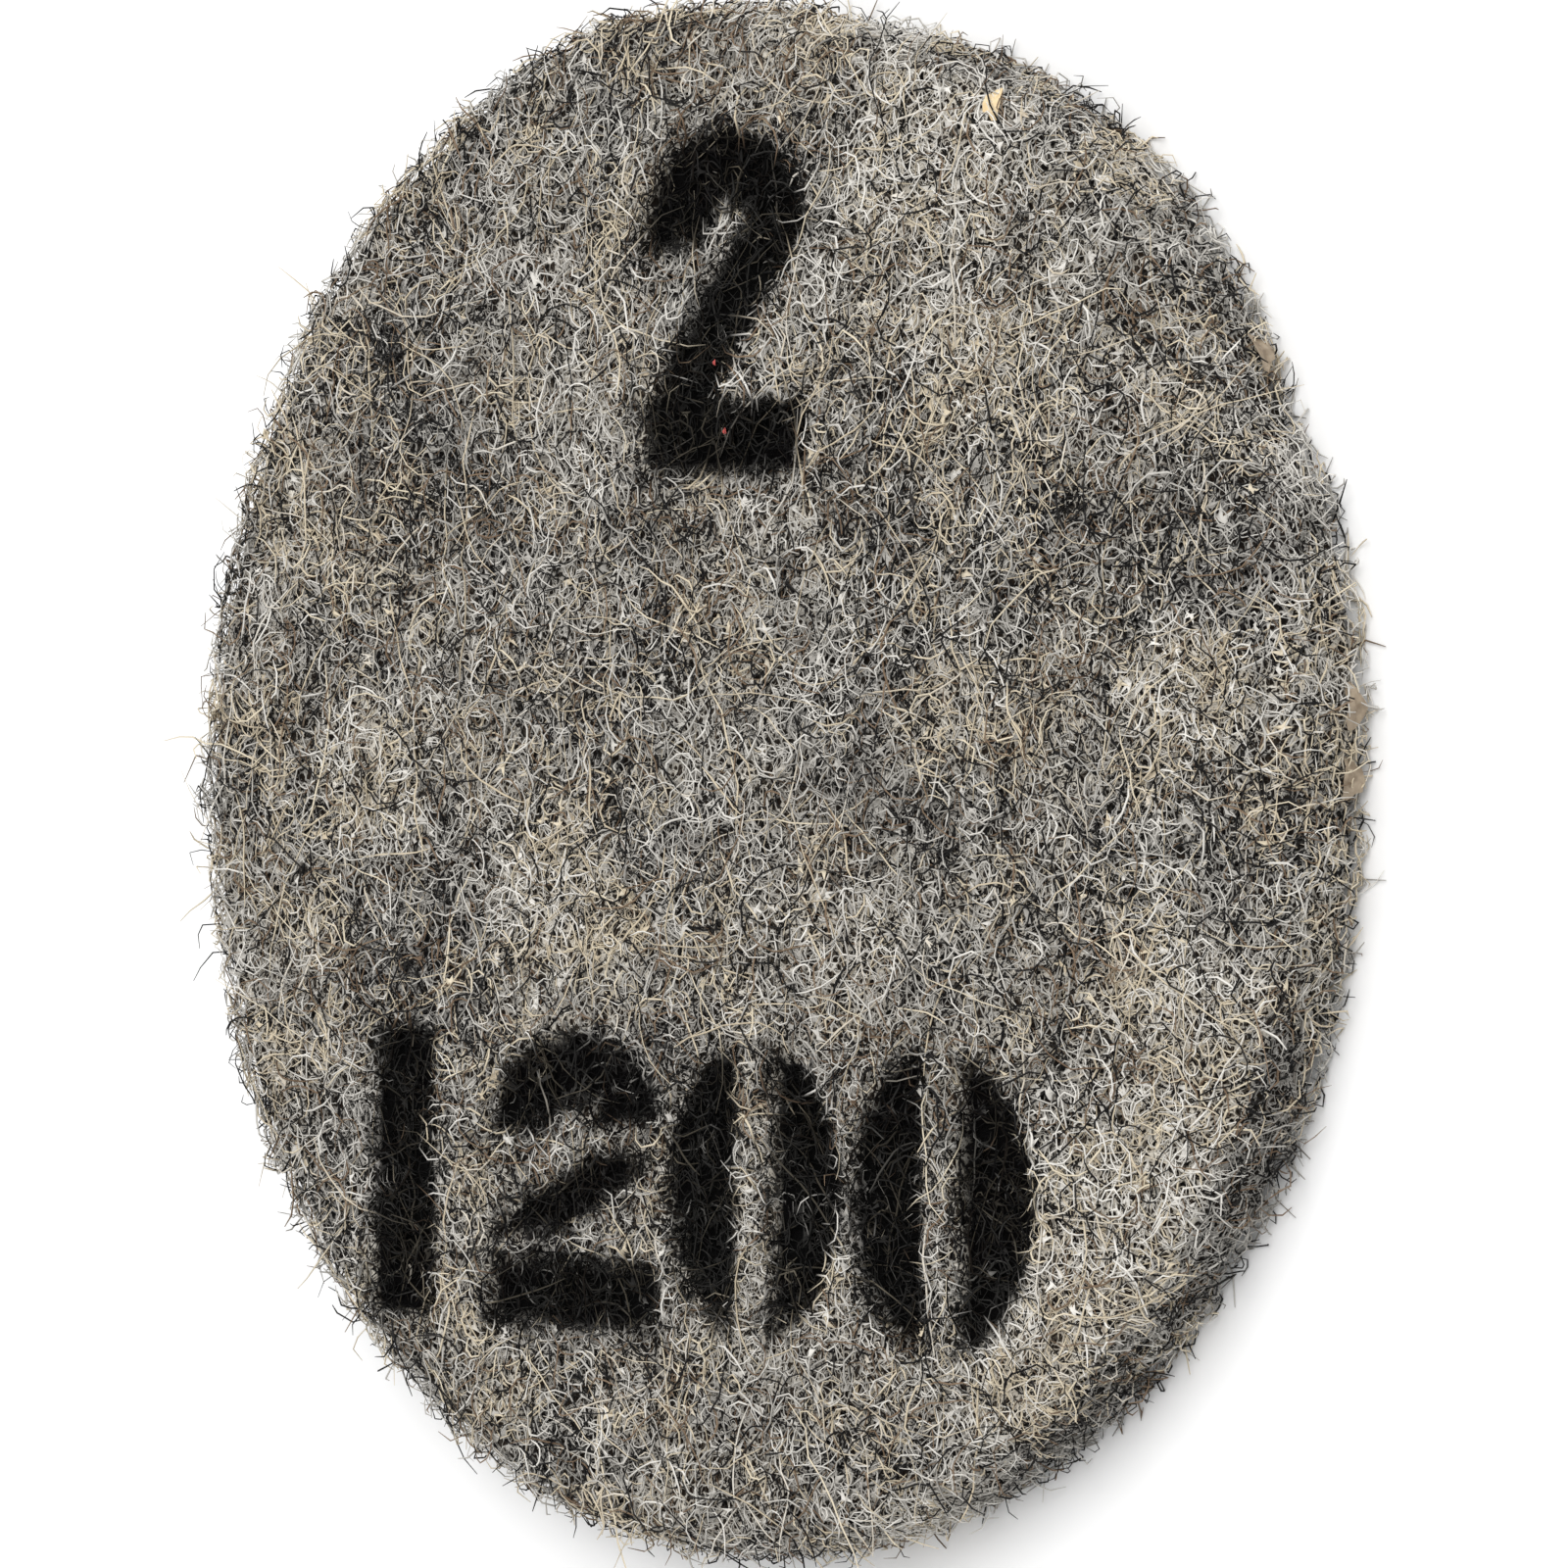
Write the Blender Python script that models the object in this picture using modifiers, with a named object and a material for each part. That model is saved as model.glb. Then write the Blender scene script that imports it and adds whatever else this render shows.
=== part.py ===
"""Non-woven abrasive disc.

One round pad, cut with a die from a bonded web of animal hair and abrasive grain. A size figure and a grit
number are stencilled on its working face. The ink mats the nap, so each inked field is a shallow flat.

Lengths are in metres and +Z is up. The pad lies on its back face, and the centre of that face is the origin.
The figures read upright when +Y points up the page.
"""

import math

import bmesh
import bpy
from mathutils import Vector, noise

# The pad
DISC_DIAMETER = 0.0750
DISC_THICKNESS = 0.0055
FRONT_EDGE_RADIUS = 0.0011
BACK_EDGE_RADIUS = 0.0005

# How uneven the web is: the nap's lumps on the working face, and the wander of the cut edge
NAP_HEIGHT = 0.00022
NAP_LUMP = 0.0042
EDGE_WANDER = 0.00035
EDGE_LUMP = 0.0030
EDGE_BAND = 0.0050

# Where the cut edge falls short of a circle: angle from +X, half width of the dent, and its depth
EDGE_DENTS = (
    (math.radians(78), math.radians(34), 0.0012),
    (math.radians(28), math.radians(8), 0.0008),
    (math.radians(-2), math.radians(5), 0.0005),
)

# The fineness of the solid
AROUND = 132
RING_STEP = 0.0025
WALL_STEP = 0.0012
ARC_STEPS = 3

# The stencilled marks
INK_MATTING = 0.00012
STROKE_WIDTH = 0.0044
STROKE_HEIGHT = 0.0034
BOWL_SHARE = 0.62
BRIDGE = 0.0026
FIGURE_WIDTH = 0.0118
FIGURE_HEIGHT = 0.0143
FIGURE_PITCH = 0.0125
GRIT_ROW_Y = -0.0201
GRIT_ROW_START = -0.0218
SIZE_FIGURE_X = 0.0006
SIZE_FIGURE_Y = 0.0226
SIZE_FIGURE_WIDTH = 0.0110
SIZE_FIGURE_HEIGHT = 0.0166
CURVE_POINTS = 16

HAIR_COLOUR = (0.36, 0.34, 0.30, 1.0)
INK_COLOUR = (0.010, 0.010, 0.011, 1.0)


def clear_scene():
    for old in list(bpy.data.objects):
        bpy.data.objects.remove(old)


def new_collection(name):
    made = bpy.data.collections.new(name)
    bpy.context.scene.collection.children.link(made)
    return made


def new_material(name, colour, roughness):
    material = bpy.data.materials.new(name)
    material.use_nodes = True
    shader = material.node_tree.nodes["Principled BSDF"]
    shader.inputs["Base Color"].default_value = colour
    shader.inputs["Roughness"].default_value = roughness
    shader.inputs["Metallic"].default_value = 0.0
    material.diffuse_color = colour
    return material


def even_steps(start, end, longest):
    """Values from start to end, both included, in equal steps no longer than longest."""
    count = max(1, math.ceil(abs(end - start) / longest))
    return [start + (end - start) * i / count for i in range(count + 1)]


def edge_arc(radius, edge_radius, z_centre, first, last):
    """Points of a rounded edge in the XZ plane, from the angle first to the angle last."""
    centre_x = radius - edge_radius
    return [
        (centre_x + edge_radius * math.cos(a), z_centre + edge_radius * math.sin(a))
        for a in (first + (last - first) * i / ARC_STEPS for i in range(ARC_STEPS + 1))
    ]


def pad_profile():
    """Half the pad's section, from the centre of the front face down to the centre of the back face."""
    radius = DISC_DIAMETER / 2
    front = [(r, DISC_THICKNESS) for r in even_steps(0.0, radius - FRONT_EDGE_RADIUS, RING_STEP)]
    front_arc = edge_arc(radius, FRONT_EDGE_RADIUS, DISC_THICKNESS - FRONT_EDGE_RADIUS, math.pi / 2, 0.0)
    wall_top = DISC_THICKNESS - FRONT_EDGE_RADIUS
    wall = [(radius, z) for z in even_steps(wall_top, BACK_EDGE_RADIUS, WALL_STEP)]
    back_arc = edge_arc(radius, BACK_EDGE_RADIUS, BACK_EDGE_RADIUS, 0.0, -math.pi / 2)
    return front[:-1] + front_arc[:-1] + wall[:-1] + back_arc + [(0.0, 0.0)]


def turned_mesh(name, profile):
    """The mesh of a profile that a Screw modifier turns once round Z."""
    mesh = bpy.data.meshes.new(name + "_profile")
    mesh.from_pydata([(x, 0.0, z) for x, z in profile], [(i, i + 1) for i in range(len(profile) - 1)], [])
    turned = bpy.data.objects.new(name + "_profile", mesh)
    bpy.context.scene.collection.objects.link(turned)
    screw = turned.modifiers.new("Turn", "SCREW")
    screw.steps = AROUND
    screw.render_steps = AROUND
    screw.use_merge_vertices = True
    screw.merge_threshold = 0.00001
    bpy.context.view_layer.update()
    graph = bpy.context.evaluated_depsgraph_get()
    made = bpy.data.meshes.new_from_object(turned.evaluated_get(graph))
    bpy.data.objects.remove(turned)
    made.name = name
    return made


def smooth_share(value, low, high):
    """0 at low, 1 at high, with an even start and end."""
    t = min(1.0, max(0.0, (value - low) / (high - low)))
    return t * t * (3 - 2 * t)


def dent_depth(angle):
    """How far the cut edge falls inside the circle at this angle."""
    depth = 0.0
    for middle, half_width, most in EDGE_DENTS:
        away = abs((angle - middle + math.pi) % (2 * math.pi) - math.pi)
        depth += most * (1.0 - smooth_share(away, 0.0, half_width))
    return depth


def uneven(point):
    """A point of the turned pad, moved as the web's nap and the ragged cut edge lie."""
    x, y, z = point
    r = math.hypot(x, y)
    lump = noise.noise(Vector((x, y, 0.0)) / NAP_LUMP)
    rise = NAP_HEIGHT * lump * smooth_share(z, 0.0, DISC_THICKNESS)
    near_edge = smooth_share(r, DISC_DIAMETER / 2 - EDGE_BAND, DISC_DIAMETER / 2)
    wander = EDGE_WANDER * noise.noise(Vector((x, y, z)) / EDGE_LUMP)
    inward = (dent_depth(math.atan2(y, x)) - wander) * near_edge
    scale = (r - inward) / r if r > 0 else 1.0
    return Vector((x * scale, y * scale, z + rise))


def make_pad(collection, material):
    mesh = turned_mesh("abrasive_disc", pad_profile())
    for vertex in mesh.vertices:
        vertex.co = uneven(vertex.co)
    mesh.materials.append(material)
    mesh.shade_smooth()
    pad = bpy.data.objects.new("abrasive_disc", mesh)
    collection.objects.link(pad)
    return pad


def oval_arc(centre, half_width, half_height, first, last):
    """Points on an oval from one angle to another, in degrees from +X."""
    turns = [math.radians(first + (last - first) * i / CURVE_POINTS) for i in range(CURVE_POINTS + 1)]
    return [(centre[0] + half_width * math.cos(t), centre[1] + half_height * math.sin(t)) for t in turns]


def oval_band(centre, half_width, half_height, first, last):
    """A stroke that follows an oval inside its edge, thick at the sides and thinner at the top."""
    outer = oval_arc(centre, half_width, half_height, first, last)
    inner = oval_arc(centre, half_width - STROKE_WIDTH, half_height - STROKE_HEIGHT, last, first)
    return outer + inner


def slanted_bar(foot, head, width):
    """A four-sided stroke with level ends, from its foot up to its head."""
    half = width / 2
    low = [(foot[0] - half, foot[1]), (foot[0] + half, foot[1])]
    return low + [(head[0] + half, head[1]), (head[0] - half, head[1])]


def figure_one(centre, width, height):
    """A plain upright bar."""
    x, y = centre
    return [slanted_bar((x, y - height / 2), (x, y + height / 2), STROKE_WIDTH)]


def figure_two(centre, width, height, bridged):
    """A bowl that runs down into a slanted leg, over a foot. A bridged one is cut into three by its stencil."""
    x, y = centre
    top = y + height / 2
    base = y - height / 2
    bowl_half = height * BOWL_SHARE / 2
    middle = (x, top - bowl_half)
    foot_top = base + STROKE_HEIGHT
    leg_foot = (x - width / 2 + STROKE_WIDTH / 2, foot_top + (BRIDGE / 3 if bridged else 0.0))
    leg_head = (x + width / 2 - STROKE_WIDTH / 2, middle[1] - (BRIDGE / 2 if bridged else 0.0))
    bowl = oval_band(middle, width / 2, bowl_half, 185, 8 if bridged else 0)
    leg = slanted_bar(leg_foot, leg_head, STROKE_WIDTH)
    foot = slanted_bar((x, base), (x, foot_top), width)
    return [bowl, leg, foot]


def figure_nought(centre, width, height):
    """Two half moons with the stencil's bridge between them."""
    start = math.degrees(math.acos(BRIDGE / width))
    return [oval_arc(centre, side * width / 2, height / 2, -start, start)[::side] for side in (1, -1)]


def mark_outlines():
    """The outline of every inked field, seen from above."""
    place = [(GRIT_ROW_START + FIGURE_PITCH * i, GRIT_ROW_Y) for i in range(4)]
    size = (FIGURE_WIDTH, FIGURE_HEIGHT)
    outlines = figure_two((SIZE_FIGURE_X, SIZE_FIGURE_Y), SIZE_FIGURE_WIDTH, SIZE_FIGURE_HEIGHT, False)
    outlines += figure_one(place[0], *size)
    outlines += figure_two(place[1], *size, True)
    outlines += figure_nought(place[2], *size)
    outlines += figure_nought(place[3], *size)
    return outlines


def make_cutter(name, outline, low, high, collection, material):
    """A flat outline extruded between two heights, as a mesh."""
    curve = bpy.data.curves.new(name, "CURVE")
    curve.dimensions = "2D"
    curve.fill_mode = "BOTH"
    curve.extrude = (high - low) / 2
    spline = curve.splines.new("POLY")
    spline.points.add(len(outline) - 1)
    for point, (x, y) in zip(spline.points, outline):
        point.co = (x, y, 0.0, 1.0)
    spline.use_cyclic_u = True
    drawn = bpy.data.objects.new(name + "_outline", curve)
    drawn.location.z = (low + high) / 2
    bpy.context.scene.collection.objects.link(drawn)
    bpy.context.view_layer.update()
    graph = bpy.context.evaluated_depsgraph_get()
    mesh = bpy.data.meshes.new_from_object(drawn.evaluated_get(graph))
    shape = bmesh.new()
    shape.from_mesh(mesh)
    bmesh.ops.remove_doubles(shape, verts=shape.verts, dist=0.000001)
    bmesh.ops.recalc_face_normals(shape, faces=shape.faces)
    shape.to_mesh(mesh)
    shape.free()
    mesh.materials.append(material)
    cutter = bpy.data.objects.new(name, mesh)
    cutter.matrix_world = drawn.matrix_world
    bpy.data.objects.remove(drawn)
    cutter.hide_render = True
    cutter.display_type = "WIRE"
    collection.objects.link(cutter)
    return cutter


def sink_marks(pad, cutters):
    """Cuts every inked field into the working face, and colours its floor with the cutter's ink."""
    cut = pad.modifiers.new("Inked fields", "BOOLEAN")
    cut.operation = "DIFFERENCE"
    cut.operand_type = "COLLECTION"
    cut.collection = cutters
    cut.solver = "EXACT"
    cut.material_mode = "TRANSFER"


def main():
    clear_scene()
    parts = new_collection("Non-woven abrasive disc")
    cutters = new_collection("Cutters")
    hair = new_material("bonded_hair", HAIR_COLOUR, 0.95)
    ink = new_material("stencil_ink", INK_COLOUR, 0.80)
    pad = make_pad(parts, hair)
    low = DISC_THICKNESS - NAP_HEIGHT - INK_MATTING
    high = DISC_THICKNESS + 2 * NAP_HEIGHT
    for number, outline in enumerate(mark_outlines()):
        make_cutter(f"ink_field_{number}", outline, low, high, cutters, ink)
    sink_marks(pad, cutters)


main()
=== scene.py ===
# %% [markdown]
# # A non-woven abrasive disc
#
# The real object is a round pad, cut with a die from a web of animal hair. Resin bonds the hairs where
# they touch and holds fine grain on them. Two rows of figures are stencilled on the working face in black
# ink.
#
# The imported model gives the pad's solid, which lies on its back face with +Z out of the working face.
# This script keeps that solid's form and grows the hair on it, one strand at a time.

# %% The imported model
import math

import bmesh
import bpy
from mathutils import Matrix, Vector


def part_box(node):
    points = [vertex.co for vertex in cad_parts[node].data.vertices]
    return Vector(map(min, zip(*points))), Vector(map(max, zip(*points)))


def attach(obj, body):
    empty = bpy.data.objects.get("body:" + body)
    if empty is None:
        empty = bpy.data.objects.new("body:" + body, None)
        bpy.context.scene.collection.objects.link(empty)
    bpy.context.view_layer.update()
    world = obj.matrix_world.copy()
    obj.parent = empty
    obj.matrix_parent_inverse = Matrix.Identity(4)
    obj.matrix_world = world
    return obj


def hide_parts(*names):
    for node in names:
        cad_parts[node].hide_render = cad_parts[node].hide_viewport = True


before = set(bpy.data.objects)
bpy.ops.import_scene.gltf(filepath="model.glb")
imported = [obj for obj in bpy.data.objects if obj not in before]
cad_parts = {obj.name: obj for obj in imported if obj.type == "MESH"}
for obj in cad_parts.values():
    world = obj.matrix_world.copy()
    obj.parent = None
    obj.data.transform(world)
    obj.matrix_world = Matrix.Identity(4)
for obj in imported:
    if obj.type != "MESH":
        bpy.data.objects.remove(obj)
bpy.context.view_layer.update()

MM = 0.001
PAD = "abrasive_disc"
low_corner, high_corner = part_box(PAD)
PAD_RADIUS = 37.5 * MM
FACE_HEIGHT = 5.5 * MM
for title, corner in (("from", low_corner), ("to", high_corner)):
    print("solid", title, [round(v / MM, 2) for v in corner], "mm")

# %% [markdown]
# ## Camera
#
# The face is turned 45 degrees away from the camera, and its right edge is the nearer one. The pad lies
# on a bench here, so the camera looks down on it from its +X side and is rolled until +Y points up the
# picture. The viewing distance is ten radii. The pad sits a little left of the lens's axis, as it does in
# the photo.

# %% Camera
PICTURE = 1600
PIXELS_PER_RADIUS = 795.3
VIEW_RADII = 10.0
FACE_TURN = math.radians(45.4)
ROLL = math.radians(-0.52)
FACE_ASIDE = (-0.098, 0.0176)
SENSOR = 36.0

face_centre = Vector((0, 0, FACE_HEIGHT))
backward = Vector((math.sin(FACE_TURN), 0, math.cos(FACE_TURN)))
level_right = Vector((math.cos(FACE_TURN), 0, -math.sin(FACE_TURN)))
level_up = Vector((0, 1, 0))
picture_right = math.cos(ROLL) * level_right - math.sin(ROLL) * level_up
picture_up = math.sin(ROLL) * level_right + math.cos(ROLL) * level_up

camera_data = bpy.data.cameras.new("Camera")
camera_data.sensor_width = SENSOR
camera_data.lens = SENSOR * PIXELS_PER_RADIUS * VIEW_RADII / PICTURE
camera = bpy.data.objects.new("Camera", camera_data)
bpy.context.scene.collection.objects.link(camera)
aside = -FACE_ASIDE[0] * picture_right - FACE_ASIDE[1] * picture_up
place = face_centre + PAD_RADIUS * (VIEW_RADII * backward + aside)
turn = Matrix((picture_right, picture_up, backward)).transposed().to_4x4()
camera.matrix_world = Matrix.Translation(place) @ turn
bpy.context.scene.camera = camera
print("camera at", [round(v, 4) for v in place], "lens", round(camera_data.lens, 1), "mm")

# %% [markdown]
# ## Floor and light
#
# The photo has an even, almost shadowless light. A pale surround gives the even part. One large soft lamp
# stands above the camera, so that the shadow falls behind the pad and the rim stays as light as the face.

# %% Floor and light
FLOOR_SIZE = 3.0
SURROUND_STRENGTH = 0.93
KEY_POWER = 5.5
KEY_SIZE = 0.7
KEY_PLACE = Vector((0.30, 0.42, 0.62))


def plain_material(name, colour, roughness):
    """A Principled material with one colour, whose nodes later cells may add to."""
    material = bpy.data.materials.new(name)
    material.use_nodes = True
    shader = material.node_tree.nodes["Principled BSDF"]
    shader.inputs["Base Color"].default_value = (*colour, 1.0)
    shader.inputs["Roughness"].default_value = roughness
    return material


floor_mesh = bpy.data.meshes.new("floor")
floor_shape = bmesh.new()
bmesh.ops.create_grid(floor_shape, x_segments=1, y_segments=1, size=FLOOR_SIZE / 2)
floor_shape.to_mesh(floor_mesh)
floor_shape.free()
floor = bpy.data.objects.new("floor", floor_mesh)
bpy.context.scene.collection.objects.link(floor)
floor_mesh.materials.append(plain_material("pale_floor", (0.86, 0.86, 0.86), 0.9))

world = bpy.data.worlds.new("Surround")
world.use_nodes = True
world.node_tree.nodes["Background"].inputs["Color"].default_value = (1.0, 1.0, 1.0, 1.0)
world.node_tree.nodes["Background"].inputs["Strength"].default_value = SURROUND_STRENGTH
bpy.context.scene.world = world

key_data = bpy.data.lights.new("Key", "AREA")
key_data.size = KEY_SIZE
key_data.energy = KEY_POWER
key = bpy.data.objects.new("Key", key_data)
key.location = KEY_PLACE
key.rotation_euler = KEY_PLACE.to_track_quat("Z", "Y").to_euler()
bpy.context.scene.collection.objects.link(key)
bpy.context.scene.view_settings.view_transform = "Standard"
print("light: surround", SURROUND_STRENGTH, "and key", KEY_POWER, "W")

# %% [markdown]
# ## Where the ink goes
#
# The figures are sprayed through a stencil, so each is a few separate fields with soft edges. The
# outlines are ovals and bars of the same sizes as in the solid. They are laid out here as flat faces just
# above the pad. Nothing shows them: the hair below measures how far it is from them, and darkens.

# %% Ink fields
STROKE_WIDTH = 4.4 * MM
STROKE_HEIGHT = 3.4 * MM
BOWL_SHARE = 0.62
BRIDGE = 2.6 * MM
FIGURE_WIDTH = 11.8 * MM
FIGURE_HEIGHT = 14.3 * MM
FIGURE_PITCH = 12.5 * MM
GRIT_ROW_Y = -20.1 * MM
GRIT_ROW_START = -21.8 * MM
SIZE_FIGURE_PLACE = (0.6 * MM, 22.6 * MM)
SIZE_FIGURE_WIDTH = 11.0 * MM
SIZE_FIGURE_HEIGHT = 16.6 * MM
ARC_POINTS = 16
DRAWN_IN = 0.20 * MM


def oval_arc(centre, half_width, half_height, first, last):
    """Points on an oval from one angle to another, in degrees from +X."""
    turns = [math.radians(first + (last - first) * i / ARC_POINTS) for i in range(ARC_POINTS + 1)]
    return [(centre[0] + half_width * math.cos(t), centre[1] + half_height * math.sin(t)) for t in turns]


def slanted_bar(foot, head, width):
    """A stroke with level ends, from its foot up to its head, drawn in on every side."""
    half = width / 2 - DRAWN_IN
    low_y = foot[1] + DRAWN_IN
    high_y = head[1] - DRAWN_IN
    lower = [(foot[0] - half, low_y), (foot[0] + half, low_y)]
    return lower + [(head[0] + half, high_y), (head[0] - half, high_y)]


def figure_two(centre, width, height, bridged):
    """A bowl, a slanted leg and a foot. A bridged figure is cut into three by its stencil."""
    x, y = centre
    bowl_half = height * BOWL_SHARE / 2
    middle = (x, y + height / 2 - bowl_half)
    base = y - height / 2
    foot_top = base + STROKE_HEIGHT
    last = 8 if bridged else 0
    outer = oval_arc(middle, width / 2 - DRAWN_IN, bowl_half - DRAWN_IN, 185, last)
    inside = (width / 2 - STROKE_WIDTH + DRAWN_IN, bowl_half - STROKE_HEIGHT + DRAWN_IN)
    inner = oval_arc(middle, *inside, last, 185)
    lapped = 2 * DRAWN_IN
    leg_foot = (x - width / 2 + STROKE_WIDTH / 2, foot_top + (BRIDGE / 3 if bridged else -lapped))
    leg_head = (x + width / 2 - STROKE_WIDTH / 2, middle[1] + (-BRIDGE / 2 if bridged else lapped))
    leg = slanted_bar(leg_foot, leg_head, STROKE_WIDTH)
    return [outer + inner, leg, slanted_bar((x, base), (x, foot_top), width)]


def figure_nought(centre):
    """Two half moons with the stencil's bridge between them."""
    half_width = FIGURE_WIDTH / 2 - DRAWN_IN
    start = math.degrees(math.acos((BRIDGE / 2 + DRAWN_IN) / half_width))
    half_height = FIGURE_HEIGHT / 2 - DRAWN_IN
    return [oval_arc(centre, side * half_width, half_height, -start, start) for side in (1, -1)]


spots = [(GRIT_ROW_START + FIGURE_PITCH * i, GRIT_ROW_Y) for i in range(4)]
bar_foot = (spots[0][0], GRIT_ROW_Y - FIGURE_HEIGHT / 2)
bar_head = (spots[0][0], GRIT_ROW_Y + FIGURE_HEIGHT / 2)
outlines = figure_two(SIZE_FIGURE_PLACE, SIZE_FIGURE_WIDTH, SIZE_FIGURE_HEIGHT, False)
outlines += [slanted_bar(bar_foot, bar_head, STROKE_WIDTH)]
outlines += figure_two(spots[1], FIGURE_WIDTH, FIGURE_HEIGHT, True)
outlines += figure_nought(spots[2]) + figure_nought(spots[3])

ink_shape = bmesh.new()
for outline in outlines:
    ink_shape.faces.new([ink_shape.verts.new((x, y, FACE_HEIGHT)) for x, y in outline])
bmesh.ops.triangulate(ink_shape, faces=ink_shape.faces)
ink_mesh = bpy.data.meshes.new("ink_fields")
ink_shape.to_mesh(ink_mesh)
ink_shape.free()
ink_fields = bpy.data.objects.new("ink_fields", ink_mesh)
bpy.context.scene.collection.objects.link(ink_fields)
print(len(outlines), "ink fields in", len(ink_mesh.polygons), "faces")

# %% [markdown]
# ## Sums on fields
#
# A node tree for hair is mostly arithmetic. Written node by node it is hard to read, so this small class
# puts Python's own signs on a socket: adding two fields adds a Math node.

# %% Fields


class Field:
    """An output socket that can be added, multiplied and so on, in a geometry tree or a material."""

    def __init__(self, tree, socket):
        self.tree = tree
        self.socket = socket

    def __add__(self, other):
        return maths("ADD", self, other)

    __radd__ = __add__

    def __mul__(self, other):
        return maths("MULTIPLY", self, other)

    __rmul__ = __mul__

    def __sub__(self, other):
        return maths("SUBTRACT", self, other)

    def __rsub__(self, other):
        return maths("SUBTRACT", other, self)

    def __truediv__(self, other):
        return maths("DIVIDE", self, other)


def feed(tree, socket, value):
    """Gives an input socket a field or a plain value."""
    if isinstance(value, Field):
        tree.links.new(value.socket, socket)
    elif value is not None:
        socket.default_value = value


def maths(operation, *values):
    """One Math node on fields and numbers."""
    tree = next(v.tree for v in values if isinstance(v, Field))
    node = tree.nodes.new("ShaderNodeMath")
    node.operation = operation
    for socket, value in zip(node.inputs, values):
        feed(tree, socket, value)
    return Field(tree, node.outputs[0])


def vector_maths(operation, *values):
    """One Vector Math node."""
    tree = next(v.tree for v in values if isinstance(v, Field))
    node = tree.nodes.new("ShaderNodeVectorMath")
    node.operation = operation
    sockets = (node.inputs[0], node.inputs["Scale"]) if operation == "SCALE" else node.inputs
    for socket, value in zip(sockets, values):
        feed(tree, socket, value)
    return Field(tree, node.outputs[0])


def vector(x, y, z):
    """A vector from three fields or numbers."""
    tree = next(v.tree for v in (x, y, z) if isinstance(v, Field))
    node = tree.nodes.new("ShaderNodeCombineXYZ")
    for socket, value in zip(node.inputs, (x, y, z)):
        feed(tree, socket, value)
    return Field(tree, node.outputs[0])


def parts_of(field):
    """A vector field's x, y and z."""
    node = field.tree.nodes.new("ShaderNodeSeparateXYZ")
    feed(field.tree, node.inputs[0], field)
    return [Field(field.tree, output) for output in node.outputs]


def eased(field, low, high, start=0.0, end=1.0):
    """Runs smoothly from start to end as a field goes from low to high, and stays there."""
    node = field.tree.nodes.new("ShaderNodeMapRange")
    node.interpolation_type = "SMOOTHSTEP"
    for socket, value in zip(node.inputs, (field, low, high, start, end)):
        feed(field.tree, socket, value)
    return Field(field.tree, node.outputs[0])


def noise(place, scale, detail=1.0, output=0):
    """Blender's noise, about 0.5 on average. Output 0 is its value and 1 its colour, used as a vector."""
    node = place.tree.nodes.new("ShaderNodeTexNoise")
    feed(place.tree, node.inputs["Vector"], place)
    node.inputs["Scale"].default_value = scale
    node.inputs["Detail"].default_value = detail
    return Field(place.tree, node.outputs[output])


print("fields ready")

# %% [markdown]
# ## One tree for every kind of hair
#
# A pad like this holds hundreds of thousands of hairs. Only the ones near the surface show, as short
# curved stretches that dive under each other. Hair grooming tools comb strands the same way, and a
# texture would look painted on from the side, so each visible stretch is a thin tube of its own.
#
# The tree scatters points on the solid's own surface and puts a short line on each. A formula then bends
# the line: an arc in the surface's plane, a crimp across it, an arch that lifts the middle or the ends,
# and a slow wobble. The inputs say how long, curly, deep and steep one kind of hair lies.
#
# Each strand carries its own map, OFBake. Across is its shade, from black hair at 0 to straw at 1, and up
# is the ink on it. A strand covers a small patch of that map, because a face without width can't be
# baked.

# %% Hair tree
PATCH = 0.012
INK_EDGE = 0.35 * MM
INK_RAGGED = 1.0 * MM
INK_MISSES = 0.8 * MM
# Noise cells for each metre, here and in every other GRAIN
INK_GRAIN = 800.0
# Depths below the face at which the ink ends and is whole
INK_FADES = (2.0 * MM, 1.0 * MM)
LOWEST_HAIR = 0.12 * MM


def ink_at(tree, position, fields_object, luck):
    """The ink at a place: 1 in a field, 0 past its edge or low on the rim. Luck moves each hair's edge."""
    info = tree.nodes.new("GeometryNodeObjectInfo")
    info.inputs["Object"].default_value = fields_object
    near = tree.nodes.new("GeometryNodeProximity")
    near.target_element = "FACES"
    tree.links.new(info.outputs["Geometry"], near.inputs[0])
    x, y, z = parts_of(position)
    feed(tree, near.inputs["Sample Position"], vector(x, y, FACE_HEIGHT))
    distance = Field(tree, near.outputs["Distance"])
    spread = (noise(position, INK_GRAIN, 2.0) - 0.2) * INK_RAGGED + (luck - 0.35) * INK_MISSES
    soaked = eased(z, FACE_HEIGHT - INK_FADES[0], FACE_HEIGHT - INK_FADES[1])
    return eased(distance - spread, -0.4 * INK_EDGE, INK_EDGE, 1.0, 0.0) * soaked


def ink_here(tree, fields_object):
    """The ink at each point of the geometry, with the point's own luck."""
    position = Field(tree, tree.nodes.new("GeometryNodeInputPosition").outputs[0])
    return ink_at(tree, position, fields_object, named(tree, "drift"))


def random_value(tree, low, high, seed):
    """A random number for each point."""
    node = tree.nodes.new("FunctionNodeRandomValue")
    node.data_type = "FLOAT"
    feed(tree, node.inputs[2], low)
    feed(tree, node.inputs[3], high)
    feed(tree, node.inputs["Seed"], seed)
    return Field(tree, node.outputs[1])


def named(tree, name, data_type="FLOAT"):
    """Reads a stored attribute."""
    node = tree.nodes.new("GeometryNodeInputNamedAttribute")
    node.data_type = data_type
    node.inputs["Name"].default_value = name
    return Field(tree, node.outputs[0])


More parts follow.
